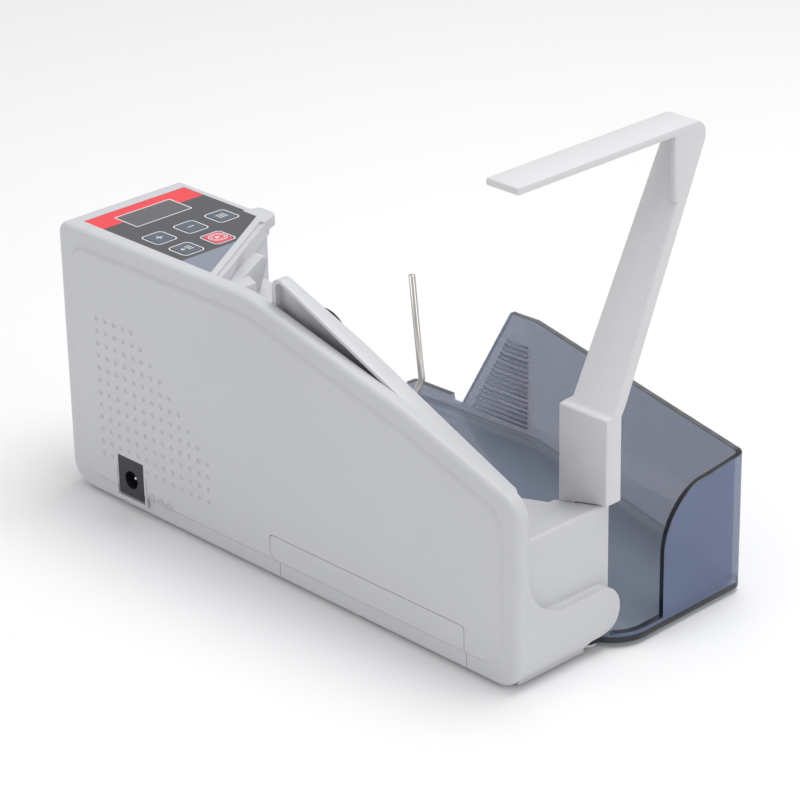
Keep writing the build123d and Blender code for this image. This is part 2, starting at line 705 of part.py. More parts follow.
def pulley(centre, span, radius=PULLEY_RADIUS, bore=SHAFT_RADIUS):
    body = ring_on(centre, bore, radius, span)
    flange = radius + BELT_THICKNESS + 0.35
    body += ring_on(centre, bore, flange, (span[0], span[0] + 0.5))
    return body


def feed_pulleys():
    return [pulley(FEED_CENTRE, DRIVE_PULLEY_SPAN), pulley(FEED_CENTRE, LINK_PULLEY_SPAN)]


def belt(first, second, first_radius, span):
    inner = (first_radius + BELT_LIFT, PULLEY_RADIUS + BELT_LIFT)
    outer = [radius + BELT_THICKNESS for radius in inner]
    loop = loop_outline(first, second, *outer) - loop_outline(first, second, *inner)
    return side_slab(loop, span[0] + 0.8, span[1] - 0.1)


def motor_body():
    can = rod(MOTOR_CENTRE, MOTOR_RADIUS, -11.4, 17.0)
    can = fillet(can.edges().filter_by(GeomType.CIRCLE), 1.0)
    can += rod(MOTOR_CENTRE, 5.0, 16.0, 19.0)
    can += rod(MOTOR_CENTRE, 4.0, -13.2, -11.4)
    can -= rod(MOTOR_CENTRE, 1.1, -14.0, 8.0)
    return can


def motor_shaft():
    return rod(MOTOR_CENTRE, 1.0, -18.8, 4.0)


def motor_mount():
    """Plate behind the motor face on two posts from the inner frame."""
    x, z = MOTOR_CENTRE
    plate = block((x - 13, x + 13), (-13.4, -11.6), (z - 22, z + 13))
    plate -= rod(MOTOR_CENTRE, 4.1, -14, -11)
    for post_x in (x - 10, x + 10):
        plate += rod((post_x, z - 18.5), 2.6, WEB_FACE, -12)
    return plate


def bushes():
    collars = []
    for centre in (FEED_CENTRE, TRANSPORT_CENTRE):
        for span in ((WEB_BACK, WEB_FACE), (HOPPER_FAR - WALL, HOPPER_FAR)):
            collars.append(ring_on(centre, SHAFT_RADIUS + RUNNING_FIT, SHAFT_RADIUS + 1.48, span))
    return collars


def pinch_rollers():
    return ring_on(PINCH_CENTRE, 1.08, PINCH_RADIUS, PINCH_SPAN)


def pinch_shaft():
    return rod(PINCH_CENTRE, 1.0, GUIDE_FAR + 1.1, -1.8)


def count_sensor():
    """Light barrier under the end of the bed, looking at the notes that leave it."""
    start, end = HOPPER_END_X + 2.3, HOPPER_END_X + 7.0
    upper = [off_bed(x, -PLATE - 0.05) for x in (start, end)]
    lower = [off_bed(x, -PLATE - 2.6) for x in (end, start)]
    case = side_slab(Polygon(*upper, *lower, align=None), -8, 8)
    lens = off_bed((start + end) / 2, -PLATE - 3.2)
    for y in (-5, 5):
        eye = Pos(lens[0], y, lens[1]) * Rot(0, degrees(BED_ANGLE), 0) * Cylinder(1.4, 1.4)
        case += eye
    return case


# ---- control head ----
def key_hole(x, y, gap):
    opening = RectangleRounded(KEY_LENGTH + 2 * gap, KEY_WIDTH + 2 * gap, 1.6)
    return flat_slab(Pos(x, y) * opening, 90, 120)


def window_hole(gap):
    opening = Rectangle(WINDOW_SIZE[0] + 2 * gap, WINDOW_SIZE[1] + 2 * gap)
    return flat_slab(Pos(*WINDOW_CENTRE) * opening, 90, 120)


def label_sketch(inset=0.0):
    """Overlay outline with the small step near its far front corner."""
    rear_near, rear_far, front_far, front_near = LABEL_CORNERS
    lean = (front_far[0] - front_near[0]) / (front_far[1] - front_near[1])
    step_y = front_far[1] - 1.0
    sketch = Polygon(
        rear_near, rear_far, (-77.0, front_far[1]), (-77.0, step_y),
        (front_near[0] + lean * (step_y - front_near[1]), step_y), front_near, align=None,
    )
    return offset(sketch, amount=-inset, kind=Kind.INTERSECTION) if inset else sketch


def rim_shift(distance):
    """X shift that moves the diagonal edge of the head by a distance square to it."""
    lean = (LABEL_CORNERS[2][0] - LABEL_CORNERS[3][0]) / (LABEL_CORNERS[2][1] - LABEL_CORNERS[3][1])
    return distance * hypot(1, lean)


def head_bezel():
    lobe = rounded_polygon(LOBE)
    bezel = flat_slab(head_plan(), HEAD_SEAM_Z, BODY_HEIGHT)
    bezel += flat_slab(lobe, BODY_HEIGHT - LOBE_HEIGHT, BODY_HEIGHT)
    top = bezel.faces().sort_by(Axis.Z)[-1]
    rim = [edge for edge in top.edges() if edge.center().Y > WEB_FACE + 0.5]
    bezel = fillet(rim, 1.0)
    bezel &= side_slab(side_outline(), WEB_FACE, HEAD_FAR + 10)
    strip = head_plan(-1) - Pos(-rim_shift(RIM_STEP), 0) * head_plan() - lobe
    strip &= Pos(0, 5) * Rectangle(200, 60)
    bezel -= flat_slab(strip, BODY_HEIGHT - STEP_DROP, BODY_HEIGHT + 1)
    bezel -= flat_slab(head_plan(3.5), HEAD_SEAM_Z - 1, BODY_HEIGHT - LABEL_THICKNESS - 2)
    bezel -= flat_slab(label_sketch(), BODY_HEIGHT - LABEL_THICKNESS, BODY_HEIGHT + 1)
    bezel -= window_hole(0.1)
    for x, y in KEYS.values():
        bezel -= key_hole(x, y, FIT)
    return bezel


def panel_label():
    label = flat_slab(label_sketch(0.1), BODY_HEIGHT - LABEL_THICKNESS, BODY_HEIGHT - 0.1)
    label -= window_hole(0.05)
    for x, y in KEYS.values():
        label -= key_hole(x, y, FIT)
    return label


def display_window():
    pane = Rectangle(WINDOW_SIZE[0], WINDOW_SIZE[1])
    return flat_slab(Pos(*WINDOW_CENTRE) * pane, BODY_HEIGHT - 1.6, BODY_HEIGHT - 0.05)


def digit_mark(bars):
    """One seven-segment figure in plan, long axis across the head."""
    length, width = DIGIT_SIZE
    across = {
        "top": (-length / 2, 0, 0.8, width - 1.2), "middle": (0, 0, 0.8, width - 1.2),
        "bottom": (length / 2, 0, 0.8, width - 1.2),
    }
    along = {
        "upper_left": (-length / 4, -width / 2, length / 2 - 1.2, 0.8),
        "upper_right": (-length / 4, width / 2, length / 2 - 1.2, 0.8),
        "lower_left": (length / 4, -width / 2, length / 2 - 1.2, 0.8),
        "lower_right": (length / 4, width / 2, length / 2 - 1.2, 0.8),
    }
    places = {**across, **along}
    marks = []
    for bar in bars:
        x, y, bar_length, bar_width = places[bar]
        marks.append(Pos(x, y) * Rectangle(bar_length, bar_width))
    return marks


def display_module():
    x, y = WINDOW_CENTRE
    top = BODY_HEIGHT - LABEL_THICKNESS - 2.2
    module = block((x - 8, x + 8), (y - 15, y + 15), (PCB_TOP, top))
    for place in range(DIGITS):
        digit_y = y + (place - (DIGITS - 1) / 2) * DIGIT_PITCH
        for mark in digit_mark(SEGMENTS):
            module -= flat_slab(Pos(x, digit_y) * mark, top - 0.3, top + 1)
    return module


def main_pcb():
    outline = Polygon((-114, -17), (-114, 28), (-76, 28), (-49, -17), align=None)
    board = flat_slab(outline, PCB_TOP - PCB_THICKNESS, PCB_TOP)
    for x, y in ((-110, -13), (-110, 24), (-56, -13), (-80, 24)):
        board -= Pos(x, y, PCB_TOP) * Cylinder(1.6, 8)
    board += block((-108, -98), (-14, -12), (PCB_TOP - 6, PCB_TOP - 1))
    board += block((-92, -84), (-4, 8), (PCB_TOP - 3.2, PCB_TOP - 1))
    return board


def key_switches():
    switches = []
    for x, y in KEYS.values():
        base = Pos(x, y, PCB_TOP + 1.7) * Box(6, 6, 3.4)
        plunger = Pos(x, y, PCB_TOP + 3.4) * Cylinder(1.7, 0.8)
        switches.append(base + plunger)
    return switches


def key_cap(x, y):
    """Key with a flange that stops it under the panel and a stem above its switch."""
    face = Pos(x, y) * RectangleRounded(KEY_LENGTH, KEY_WIDTH, 1.4)
    cap = flat_slab(face, BODY_HEIGHT - 3.4, BODY_HEIGHT + KEY_PROUD)
    cap = chamfer(cap.faces().sort_by(Axis.Z)[-1].edges(), 0.25)
    flange_top = BODY_HEIGHT - LABEL_THICKNESS - 2 - FIT
    flange = Pos(x, y) * RectangleRounded(KEY_LENGTH + 1.6, KEY_WIDTH + 1.6, 1.4)
    cap += flat_slab(flange, flange_top - 0.9, flange_top)
    return cap + flat_slab(Pos(x, y) * Circle(2.2), PCB_TOP + 4.6, flange_top)


# ---- electrical pieces ----
def dc_jack():
    x_range, z_range = jack_opening(0.0)
    body = block(x_range, (PANEL_FACE + 0.1, -12), z_range)
    centre = (JACK_CENTRE[0], JACK_CENTRE[1] - 0.8)
    rim = Pos(centre[0], PANEL_FACE + 0.1, centre[1]) * Rot(90, 0, 0)
    body -= rod(centre, JACK_BORE_RADIUS, PANEL_FACE - 1, -15)
    body -= rim * Cone(JACK_BORE_RADIUS + 0.7, JACK_BORE_RADIUS - 0.5, 1.2)
    return body - rod(centre, 1.02, -16, -12.5)


def dc_jack_pin():
    centre = (JACK_CENTRE[0], JACK_CENTRE[1] - 0.8)
    pin = rod(centre, 1.0, NEAR + 1.5, -12.6)
    return pin + Pos(centre[0], NEAR + 1.5, centre[1]) * Sphere(1.0)


def battery_box():
    x_half = CELL_LENGTH + 2 * BUTTON_LENGTH + 5.0
    inner_x = (BAY_MIDDLE_X - x_half, BAY_MIDDLE_X + x_half)
    inner_y = (WEB_FACE + 0.3, CELL_ROWS[1] + CELL_RADIUS + 0.4)
    top = CELL_Z + CELL_RADIUS + 0.4
    outer_x = (inner_x[0] - 1.2, inner_x[1] + 1.2)
    box = block(outer_x, (WEB_FACE + 0.1, inner_y[1] + 1.2), (FLOOR_Z + 0.1, top + 1.2))
    box -= block(inner_x, (WEB_FACE - 1, inner_y[1]), (0, top))
    middle_y = sum(CELL_ROWS) / 2
    box += block(inner_x, (middle_y - 0.25, middle_y + 0.25), (top - 6, top))
    return box


def cell_starts():
    """Rear end and row of each cell."""
    pair = CELL_LENGTH + BUTTON_LENGTH + 0.4
    for y in CELL_ROWS:
        yield (BAY_MIDDLE_X - pair, y)
        yield (BAY_MIDDLE_X + 0.4, y)


def battery_cells():
    cells = []
    for x, y in cell_starts():
        along = Pos(x, y, CELL_Z) * Rot(0, 90, 0)
        cell = along * Cylinder(CELL_RADIUS, CELL_LENGTH, align=ON_BASE)
        cell = fillet(cell.edges().filter_by(GeomType.CIRCLE), 0.8)
        button = Cylinder(2.7, CELL_LENGTH + BUTTON_LENGTH, align=ON_BASE)
        cells.append(cell + along * button)
    return cells


def coil_spring(x_wall, x_cell, y):
    length = abs(x_cell - x_wall)
    path = Helix(pitch=length / 3.5, height=length - 0.6, radius=3.0)
    profile = Plane(path @ 0, z_dir=path % 0) * Circle(0.3)
    coil = sweep(profile, path=path, is_frenet=True)
    turn = 90 if x_cell > x_wall else -90
    return Pos(x_wall + (0.3 if x_cell > x_wall else -0.3), y, CELL_Z) * Rot(0, turn, 0) * coil


def battery_contacts():
    x_half = CELL_LENGTH + 2 * BUTTON_LENGTH + 5.0
    rear_wall = BAY_MIDDLE_X - x_half
    front_wall = BAY_MIDDLE_X + x_half
    pieces = []
    for y in CELL_ROWS:
        for x in (rear_wall + 0.05, front_wall - 0.45):
            pieces.append(block((x, x + 0.4), (y - 5.5, y + 5.5), (CELL_Z - 5.5, CELL_Z + 6)))
        cell_rear = BAY_MIDDLE_X - CELL_LENGTH - BUTTON_LENGTH - 0.4
        pieces.append(coil_spring(rear_wall + 0.5, cell_rear - 0.1, y))
    return pieces


def buzzer():
    case = rod(BUZZER_CENTRE, 11, WEB_FACE + 0.02, -12.0)
    return case - rod(BUZZER_CENTRE, 1.4, -13.5, -11)


# ---- support arm ----
def arm_front_profile():
    """Arm seen along the body: block, leaning strip and the bar across the notes."""
    near, far = ARM_BLOCK_Y
    strip_near, strip_far = ARM_STRIP_Y
    bar_low = ARM_BAR_TOP - ARM_BAR_THICKNESS
    inner_y = strip_near + ARM_LEAN * (bar_low - ARM_BLOCK_TOP)
    outer_y = strip_far + ARM_LEAN * (ARM_BAR_TOP - ARM_BLOCK_TOP)
    return rounded_polygon(
        [
            (near, ARM_PIVOT[1], 0),
            (near, ARM_BLOCK_TOP, 1),
            (strip_near, ARM_BLOCK_TOP, 1.6),
            (inner_y, bar_low, 1.5),
            (ARM_BAR_END, bar_low, 0.8),
            (ARM_BAR_END, ARM_BAR_TOP, 0.8),
            (outer_y, ARM_BAR_TOP, 5),
            (strip_far, ARM_BLOCK_TOP, 0),
            (far, ARM_BLOCK_TOP - 0.8, 0),
            (far, ARM_PIVOT[1], 0),
        ]
    )


def arm_side_profile():
    """Arm seen from the plain side: it narrows upwards from the block to the bar."""
    rear, front = ARM_BLOCK_X
    rise = FIT + 0.05
    straight_z = ARM_BAR_TOP - 5
    return rounded_polygon(
        [
            (rear, ramp_height(rear) + rise, 0),
            (RIDGE[0], RIDGE[1] + rise, 0),
            (front, RIDGE[1] + rise, 0),
            (front, ARM_BLOCK_TOP + 2, 0),
            (ARM_BAR_X[1], straight_z, 0),
            (ARM_BAR_X[1], ARM_BAR_TOP + 1, 0),
            (ARM_BAR_X[0], ARM_BAR_TOP + 1, 0),
            (ARM_BAR_X[0], straight_z, 0),
            (ARM_STRIP_X[0], ARM_BLOCK_TOP + 2, 0),
            (rear, ARM_BLOCK_TOP, 1),
        ]
    )


def support_arm():
    near, far = ARM_BLOCK_Y
    side = arm_side_profile()
    arm = end_slab(arm_front_profile(), 90, 125) & side_slab(side, ARM_BAR_END - 1, 90)
    # Web that stiffens the upper corner, flush with the front edge of the strip.
    web = Polygon((66.1, 179.5), (63.4, 155.5), (66, 155.5), (80, 179.5), align=None)
    edge_strip = side - Pos(-ARM_WEB_THICKNESS, 0) * side
    arm += end_slab(web, 90, 125) & side_slab(edge_strip, near, 90)
    ear_top = ramp_height(ARM_BLOCK_X[0]) + 3
    arm += rod(ARM_PIVOT, 5.0, near, far)
    arm += block((ARM_BLOCK_X[0], ARM_PIVOT[0] + 5.0), (near, far), (ARM_PIVOT[1], ear_top))
    return arm - rod(ARM_PIVOT, SHAFT_RADIUS + RUNNING_FIT, near - 1, far + 1)


def arm_pin():
    pin = rod(ARM_PIVOT, SHAFT_RADIUS, RAMP_FAR - 4.5, ARM_BLOCK_Y[1] + 0.4)
    return pin + rod(ARM_PIVOT, SHAFT_RADIUS + 1.2, ARM_BLOCK_Y[1] + 0.35, ARM_BLOCK_Y[1] + 1.3)


# ---- stacker tray ----
def tray_plan(inset=0.0):
    """Floor outline: round front corner, creased far side, open near side."""
    pin_x, pin_y = TRAY_PIVOT
    outline = rounded_polygon(
        [
            (*TRAY_FRONT, TRAY_FRONT_RADIUS),
            (*TRAY_CORNER, 5),
            (*TRAY_CREASE, 0),
            (*TRAY_TIP, 2),
            (TRAY_TIP[0], 111.0, 2),
            (-42.0, 109.0, 6),
            (*TRAY_REAR_NEAR, 4),
            (pin_x - 2.5, pin_y + 3.5, 0),
            (pin_x, pin_y - 1.0, 0),
        ]
    )
    if inset:
        return offset(outline, amount=-inset, kind=Kind.INTERSECTION)
    return outline + Pos(*TRAY_PIVOT) * Circle(TRAY_BOSS_RADIUS)


def tray_walls():
    """Front wall and creased far wall, as one band that follows the floor outline."""
    band = tray_plan() - tray_plan(TRAY_WALL)
    front = Pos(TRAY_CORNER[0] - 5, 45.3) * Rectangle(20, 60, align=(Align.MIN, Align.MIN))
    far = Polygon(
        (TRAY_TIP[0] - 2, TRAY_TIP[1] - 5.5), (TRAY_CREASE[0], TRAY_CREASE[1] - 6),
        (TRAY_CORNER[0] - 6, TRAY_CORNER[1] - 5), (TRAY_CORNER[0] + 2, TRAY_CORNER[1] - 5),
        (TRAY_CORNER[0] + 2, 130), (TRAY_TIP[0] - 2, 130), align=None,
    )
    return flat_slab(band & (front + far), TRAY_FLOOR_Z[0], TRAY_TOP_Z)


def rear_cut():
    """Side-view space above the slanting end of the far wall and the low rim behind it."""
    outline = Polygon(
        (-90, TRAY_LOW_Z), (-56, TRAY_LOW_Z), (-55.5, 8), (-50.5, 8),
        (-23, TRAY_TOP_Z), (-23, 70), (-90, 70), align=None,
    )
    return side_slab(outline, 90, 130)


def front_cut():
    """Front-view space above the swept front wall, so a hand can reach in."""
    y, z = SWEEP_CENTRE
    top = z + SWEEP_RADII[1]
    outline = Polygon((40, z), (y, z), (y, top), (90, TRAY_TOP_Z), (90, 70), (40, 70), align=None)
    outline -= Pos(y, z) * Ellipse(*SWEEP_RADII)
    return end_slab(outline, TRAY_CORNER[0] - 4, TRAY_CORNER[0] + 2)


def tray_rim():
    """Low raised edge round the open front corner of the floor."""
    band = tray_plan() - tray_plan(TRAY_RIM_WIDTH)
    band &= Pos(RIDGE[0] + 1.6, 24.5) * Rectangle(20, 21.5, align=(Align.MIN, Align.MIN))
    return flat_slab(band, TRAY_FLOOR_Z[0], TRAY_RIM_Z)


def stacker_tray():
    tray = flat_slab(tray_plan(), *TRAY_FLOOR_Z)
    tray += tray_walls() - rear_cut() - front_cut()
    tray += tray_rim()
    # Ribbed grip on the inside of the far wall.
    face_y = TRAY_CREASE[1] - TRAY_WALL
    for step in range(GRIP_RIBS):
        rise = GRIP_PITCH * step
        start_x = GRIP_START[0] + GRIP_LEAN * rise
        z = GRIP_START[1] + rise
        tray += block((start_x, GRIP_END_X), (face_y - 1.8, face_y + 0.6), (z, z + 1.0))
    pin_x, pin_y = TRAY_PIVOT
    return tray - Pos(pin_x, pin_y, 3) * Cylinder(TRAY_PIN_RADIUS + RUNNING_FIT, 8)


def tray_pin():
    """Shouldered pin: head under the tray floor, shank pressed into the nose boss."""
    place = Pos(*TRAY_PIVOT, TRAY_PIN_FOOT)
    pin = place * Cylinder(TRAY_PIN_RADIUS, 8.5, align=ON_BASE)
    return pin + place * Cylinder(3.6, 1.1, align=ON_BASE)


# ---- output ----
def write(name, shape):
    solids = shape if isinstance(shape, list) else [shape]
    solids = [solid for piece in solids for solid in piece.solids()]
    export_step(Compound(children=solids), f"parts/{name}.step")
    print(name, len(solids))


MAKERS = [
    near_cover, inner_frame, main_housing, base_plate, base_screws, rubber_feet, nose_block,
    battery_door, battery_box, battery_cells, battery_contacts, dc_jack, dc_jack_pin, buzzer,
    hopper_bed, side_guide, back_guide, gate_bridge, retard_pad, wire_guide,
    feed_hubs, feed_tyres, feed_pulleys, transport_tyres, bushes, pinch_rollers, pinch_shaft,
    motor_body, motor_shaft, motor_mount, count_sensor,
    head_bezel, panel_label, display_window, display_module, main_pcb, key_switches,
    support_arm, arm_pin, stacker_tray, tray_pin,
]
for maker in MAKERS:
    write(maker.__name__, maker())
for name, (x, y) in KEYS.items():
    write(name, key_cap(x, y))
write("feed_shaft", rod(FEED_CENTRE, SHAFT_RADIUS, *SHAFT_SPAN))
write("transport_shaft", rod(TRANSPORT_CENTRE, SHAFT_RADIUS, *SHAFT_SPAN))
write("transport_pulley", pulley(TRANSPORT_CENTRE, LINK_PULLEY_SPAN))
write("motor_pulley", pulley(MOTOR_CENTRE, DRIVE_PULLEY_SPAN, MOTOR_PULLEY_RADIUS, bore=1.0))
write("drive_belt", belt(MOTOR_CENTRE, FEED_CENTRE, MOTOR_PULLEY_RADIUS, DRIVE_PULLEY_SPAN))
write("transport_belt", belt(FEED_CENTRE, TRANSPORT_CENTRE, PULLEY_RADIUS, LINK_PULLEY_SPAN))
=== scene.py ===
import json
import math

import bmesh
import bpy
from mathutils import Matrix, Vector


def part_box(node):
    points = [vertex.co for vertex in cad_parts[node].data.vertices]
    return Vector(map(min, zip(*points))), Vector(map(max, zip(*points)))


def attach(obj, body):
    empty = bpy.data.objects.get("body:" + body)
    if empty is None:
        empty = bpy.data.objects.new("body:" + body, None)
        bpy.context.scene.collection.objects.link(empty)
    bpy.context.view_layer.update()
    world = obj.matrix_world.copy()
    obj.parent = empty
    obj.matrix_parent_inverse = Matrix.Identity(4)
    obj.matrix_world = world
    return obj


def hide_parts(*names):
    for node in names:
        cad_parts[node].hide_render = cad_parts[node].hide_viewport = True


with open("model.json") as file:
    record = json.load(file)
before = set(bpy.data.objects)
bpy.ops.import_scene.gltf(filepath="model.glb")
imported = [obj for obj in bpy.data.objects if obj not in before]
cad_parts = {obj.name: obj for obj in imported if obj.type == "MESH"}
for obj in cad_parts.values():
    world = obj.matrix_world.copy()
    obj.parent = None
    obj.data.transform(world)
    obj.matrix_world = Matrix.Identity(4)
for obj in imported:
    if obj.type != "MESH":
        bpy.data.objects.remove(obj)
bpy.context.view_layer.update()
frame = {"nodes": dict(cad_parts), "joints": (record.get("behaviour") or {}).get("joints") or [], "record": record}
nodes = frame["nodes"]

MM = 0.001
ROOT = "machine_body"


# ---- camera, light and floor ----
CAMERA_PLACE = Vector((0.787, -0.7093, 0.5539))
CAMERA_TURN = 43.51
CAMERA_PITCH = 24.76
CAMERA_ROLL = -1.087
CAMERA_LENS = 143.2
SENSOR_WIDTH = 36.0


def make_camera():
    turn, pitch, roll = (math.radians(v) for v in (CAMERA_TURN, CAMERA_PITCH, CAMERA_ROLL))
    back = Vector((
        math.cos(turn) * math.cos(pitch),
        -math.sin(turn) * math.cos(pitch),
        math.sin(pitch),
    ))
    level = Vector((0, 0, 1)).cross(back).normalized()
    upward = back.cross(level)
    right = level * math.cos(roll) + upward * math.sin(roll)
    up = back.cross(right)
    data = bpy.data.cameras.new("camera")
    data.lens = CAMERA_LENS
    data.sensor_width = SENSOR_WIDTH
    data.clip_start = 0.02
    data.clip_end = 20
    camera = bpy.data.objects.new("camera", data)
    bpy.context.scene.collection.objects.link(camera)
    camera.matrix_world = Matrix((
        (right.x, up.x, back.x, CAMERA_PLACE.x),
        (right.y, up.y, back.y, CAMERA_PLACE.y),
        (right.z, up.z, back.z, CAMERA_PLACE.z),
        (0, 0, 0, 1),
    ))
    bpy.context.scene.camera = camera
    bpy.context.scene.view_settings.view_transform = "Standard"


def area_light(name, place, target, size, power, colour=(1, 1, 1)):
    data = bpy.data.lights.new(name, "AREA")
    data.shape = "RECTANGLE"
    data.size = size[0]
    data.size_y = size[1]
    data.energy = power
    data.color = colour
    light = bpy.data.objects.new(name, data)
    bpy.context.scene.collection.objects.link(light)
    light.location = place
    aim = Vector(target) - Vector(place)
    light.rotation_mode = "QUATERNION"
    light.rotation_quaternion = aim.to_track_quat("-Z", "Y")


def make_light():
    area_light("key_light", (0.15, 0.30, 1.30), (0, 0.03, 0.05), (0.9, 0.7), 10.2)
    area_light("front_light", (1.35, 0.10, 0.50), (0, 0.03, 0.07), (0.6, 0.8), 2.4)
    area_light("side_light", (-0.45, -1.35, 0.55), (0, 0, 0.05), (0.9, 0.6), 2.4)
    world = bpy.data.worlds.new("world")
    world.use_nodes = True
    background = world.node_tree.nodes["Background"]
    background.inputs["Color"].default_value = (0.985, 0.99, 1.0, 1)
    background.inputs["Strength"].default_value = 0.60
    bpy.context.scene.world = world


def make_floor():
    bpy.ops.mesh.primitive_plane_add(size=12, location=(0, 0, 0))
    floor = bpy.context.object
    floor.name = "floor"
    made = start_material("floor_paint", (0.90, 0.90, 0.90), 0.85)
    grain = noise(made, 40.0, 2.0)
    tint(made, grain, (0.895, 0.895, 0.895), (0.905, 0.905, 0.905))
    floor.data.materials.append(made["material"])


# ---- material kit ----
def start_material(name, colour, roughness, **inputs):
    """A Principled material with its own copy of the numbers that are the same all over."""
    material = bpy.data.materials.new(name)
    material.use_nodes = True
    tree = material.node_tree
    shader = tree.nodes["Principled BSDF"]
    shader.inputs["Base Color"].default_value = (*colour, 1)
    shader.inputs["Roughness"].default_value = roughness
    for key, value in inputs.items():
        shader.inputs[key.replace("_", " ").capitalize() if key != "IOR" else key].default_value = value
    where = tree.nodes.new("ShaderNodeTexCoord")
    return {"material": material, "tree": tree, "shader": shader, "where": where}


def noise(made, scale, detail=3.0, roughness=0.5):
    node = made["tree"].nodes.new("ShaderNodeTexNoise")
    node.inputs["Scale"].default_value = scale
    node.inputs["Detail"].default_value = detail
    node.inputs["Roughness"].default_value = roughness
    made["tree"].links.new(made["where"].outputs["Object"], node.inputs["Vector"])
    return node.outputs["Fac"]


def ramp(made, value, low, high):
    """Maps a value from low..high to 0..1, clamped."""
    node = made["tree"].nodes.new("ShaderNodeMapRange")
    node.inputs["From Min"].default_value = low
    node.inputs["From Max"].default_value = high
    made["tree"].links.new(value, node.inputs["Value"])
    return node.outputs["Result"]


def math_node(made, operation, first, second=0.0):
    node = made["tree"].nodes.new("ShaderNodeMath")
    node.operation = operation
    for socket, value in zip(node.inputs, (first, second)):
        if isinstance(value, (int, float)):
            socket.default_value = value
        else:
            made["tree"].links.new(value, socket)
    return node.outputs["Value"]


def mix_colour(made, factor, first, second):
    node = made["tree"].nodes.new("ShaderNodeMix")
    node.data_type = "RGBA"
    made["tree"].links.new(factor, node.inputs["Factor"])
    for name, value in (("A", first), ("B", second)):
        socket = [s for s in node.inputs if s.name == name and s.type == "RGBA"][0]
        if isinstance(value, tuple):
            socket.default_value = (*value, 1)
        else:
            made["tree"].links.new(value, socket)
    return [s for s in node.outputs if s.type == "RGBA"][0]


def tint(made, factor, first, second):
    colour = mix_colour(made, factor, first, second)
    made["tree"].links.new(colour, made["shader"].inputs["Base Color"])
    return colour


def vary_roughness(made, value, low, high):
    node = made["tree"].nodes.new("ShaderNodeMapRange")
    node.inputs["To Min"].default_value = low
    node.inputs["To Max"].default_value = high
    made["tree"].links.new(value, node.inputs["Value"])
    made["tree"].links.new(node.outputs["Result"], made["shader"].inputs["Roughness"])


def bump(made, value, strength, distance):
    node = made["tree"].nodes.new("ShaderNodeBump")
    node.inputs["Strength"].default_value = strength
    node.inputs["Distance"].default_value = distance
    made["tree"].links.new(value, node.inputs["Height"])
    made["tree"].links.new(node.outputs["Normal"], made["shader"].inputs["Normal"])


def position(made):
    """The three coordinates of a point in the row frame."""
    split = made["tree"].nodes.new("ShaderNodeSeparateXYZ")
    made["tree"].links.new(made["where"].outputs["Object"], split.inputs["Vector"])
    return split.outputs["X"], split.outputs["Y"], split.outputs["Z"]


# ---- materials ----
def moulded_plastic(name, light, dark, roughness, grain_scale=2600.0, grain_depth=0.00002):
    """Spark-eroded moulded plastic: faint cloudy colour, fine grain in the gloss."""
    made = start_material(name, light, roughness, IOR=1.5)
    cloud = noise(made, 14.0, 3.0)
    tint(made, ramp(made, cloud, 0.3, 0.7), dark, light)
    grain = noise(made, grain_scale, 2.0, 0.6)
    vary_roughness(made, grain, roughness - 0.05, roughness + 0.07)
    bump(made, grain, 0.25, grain_depth)
    return made["material"]


def black_rubber():
    made = start_material("rubber_black", (0.012, 0.012, 0.013), 0.7, IOR=1.5)
    wear = noise(made, 260.0, 4.0)
    tint(made, ramp(made, wear, 0.45, 0.75), (0.010, 0.010, 0.011), (0.026, 0.026, 0.028))
    bump(made, noise(made, 3200.0, 3.0), 0.4, 0.00004)
    return made["material"]


def polished_steel():
    made = start_material("polished_steel", (0.66, 0.63, 0.60), 0.18, Metallic=1.0)
    drawn = made["tree"].nodes.new("ShaderNodeMapping")
    drawn.inputs["Scale"].default_value = (1, 1, 0.02)
    made["tree"].links.new(made["where"].outputs["Object"], drawn.inputs["Vector"])
    streak = made["tree"].nodes.new("ShaderNodeTexNoise")
    streak.inputs["Scale"].default_value = 2400.0
    streak.inputs["Detail"].default_value = 3.0
    made["tree"].links.new(drawn.outputs["Vector"], streak.inputs["Vector"])
    vary_roughness(made, streak.outputs["Fac"], 0.12, 0.30)
    tint(made, streak.outputs["Fac"], (0.60, 0.575, 0.55), (0.72, 0.69, 0.66))
    return made["material"]


def plated_metal(name, colour, roughness):
    made = start_material(name, colour, roughness, Metallic=1.0)
    patch = noise(made, 420.0, 4.0)
    dark = tuple(0.82 * v for v in colour)
    tint(made, ramp(made, patch, 0.3, 0.7), dark, colour)
    vary_roughness(made, patch, roughness - 0.06, roughness + 0.1)
    return made["material"]


def circuit_board():
    """Green solder mask with lighter tracks between rows of pads."""
    made = start_material("board", (0.02, 0.13, 0.06), 0.35, IOR=1.5)
    tracks = made["tree"].nodes.new("ShaderNodeTexBrick")
    tracks.inputs["Scale"].default_value = 260.0
    tracks.inputs["Mortar Size"].default_value = 0.03
    tracks.inputs["Color1"].default_value = (0.015, 0.11, 0.05, 1)
    tracks.inputs["Color2"].default_value = (0.02, 0.14, 0.065, 1)
    tracks.inputs["Mortar"].default_value = (0.06, 0.26, 0.12, 1)
    made["tree"].links.new(made["where"].outputs["Object"], tracks.inputs["Vector"])
    made["tree"].links.new(tracks.outputs["Color"], made["shader"].inputs["Base Color"])
    bump(made, tracks.outputs["Fac"], 0.2, 0.00005)
    return made["material"]


